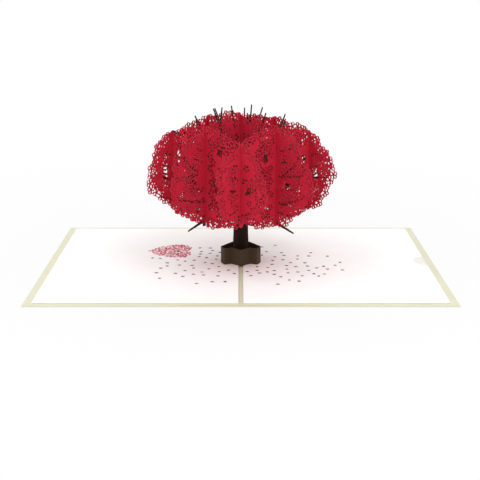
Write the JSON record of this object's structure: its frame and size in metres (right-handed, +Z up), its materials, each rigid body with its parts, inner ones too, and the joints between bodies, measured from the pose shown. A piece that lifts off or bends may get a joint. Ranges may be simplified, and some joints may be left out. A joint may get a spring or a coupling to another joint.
{
  "type": "pop up card",
  "caption": "Open folded card lying flat, with a pop up blossom tree of slotted cut-paper slices on its spine and a pull-out note in the right panel.",
  "frame": {"origin": "on the surface the card lies on, under the middle of the spine", "axes": "+X across the open card to the right page, +Y along the spine to the back, +Z up the tree"},
  "size_m": [0.254, 0.1778, 0.1057],
  "materials": {
    "cover_card": "pearl",
    "panel_paper": "matte",
    "note_paper": "matte",
    "brown_card": "matte",
    "red_paper": "matte"
  },
  "bodies": {
    "card": {"cover": "cover_card", "left_panel": "panel_paper", "right_panel": "panel_paper", "trunk_collar": "brown_card", "branches_a1": "brown_card", "blossoms_a1_front": "red_paper", "blossoms_a1_back": "red_paper", "branches_a2": "brown_card", "blossoms_a2_front": "red_paper", "blossoms_a2_back": "red_paper", "branches_a3": "brown_card", "blossoms_a3_front": "red_paper", "blossoms_a3_back": "red_paper", "branches_b1": "brown_card", "blossoms_b1_front": "red_paper", "blossoms_b1_back": "red_paper", "branches_b2": "brown_card", "blossoms_b2_front": "red_paper", "blossoms_b2_back": "red_paper", "branches_b3": "brown_card", "blossoms_b3_front": "red_paper", "blossoms_b3_back": "red_paper"},
    "note": {"pull_out_note": "note_paper"}
  },
  "joints": [
    {"name": "note_slide", "type": "slide", "parent": "card", "child": "note", "axis": [1, 0, 0], "range_m": [0, 0.1]}
  ]
}
